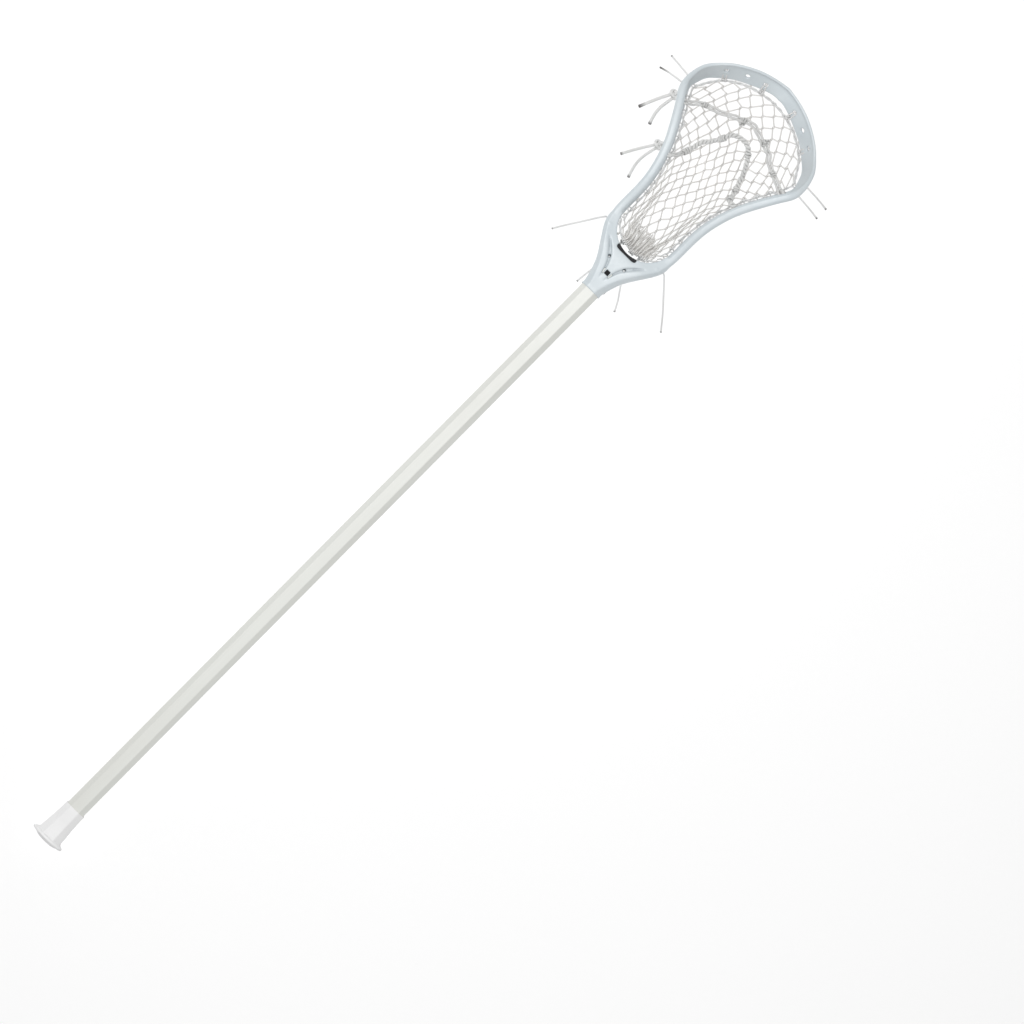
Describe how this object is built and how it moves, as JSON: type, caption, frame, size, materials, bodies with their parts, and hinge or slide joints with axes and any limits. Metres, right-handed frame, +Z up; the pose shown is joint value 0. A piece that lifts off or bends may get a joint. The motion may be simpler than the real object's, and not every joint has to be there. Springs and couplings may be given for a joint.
{
  "type": "lacrosse stick",
  "caption": "Straight octagonal shaft with a flared rubber butt cap and an offset open head, whose strung mesh pocket catches, carries and throws a ball.",
  "frame": {"origin": "centre of the stick's outline on the surface it lies on, pocket down", "axes": "+Y along the stick from the butt cap to the scoop, +Z up out of the open face of the head, X across the head"},
  "size_m": [0.228, 1.0968, 0.0891],
  "materials": {
    "head_plastic": "satin moulded nylon",
    "shaft_lacquer": "satin lacquered fibre composite",
    "cap_rubber": "matte moulded rubber",
    "stop_rubber": "matte foam rubber",
    "dark_plastic": "satin",
    "screw_steel": "brushed",
    "net_nylon": "woven soft mesh",
    "string_nylon": "braided cord",
    "lace_nylon": "tubular braided lace"
  },
  "bodies": {
    "stick": {"head_frame": "head_plastic", "shaft": "shaft_lacquer", "ball_stop": "stop_rubber", "throat_inlay": "dark_plastic", "pocket_mesh": "net_nylon", "top_string": "string_nylon", "bottom_string": "string_nylon", "sidewall_string_left": "string_nylon", "sidewall_string_right": "string_nylon", "shooting_lace_lower": "lace_nylon", "shooting_lace_upper": "lace_nylon", "knot_lace_lower": "lace_nylon", "knot_lace_upper": "lace_nylon", "tail_throat_left": "lace_nylon", "tail_throat_right": "lace_nylon", "tail_side_left": "string_nylon", "tail_side_right": "string_nylon", "tail_lower_lace_out": "lace_nylon", "tail_lower_lace_in": "lace_nylon", "tail_upper_lace_out": "lace_nylon", "tail_upper_lace_in": "lace_nylon", "tail_rim_left_low": "string_nylon", "tail_rim_left_high": "string_nylon", "tail_rim_right_low": "string_nylon", "tail_rim_right_high": "string_nylon"},
    "cap": {"butt_cap": "cap_rubber"},
    "screw": {"head_screw": "screw_steel"}
  },
  "joints": [
    {"name": "cap_pull_off", "type": "slide", "parent": "stick", "child": "cap", "axis": [0, -0.9993, -0.0386], "range_m": [0, 0.06]},
    {"name": "screw_out", "type": "slide", "parent": "stick", "child": "screw", "axis": [1, 0, 0], "range_m": [0, 0.016]}
  ]
}
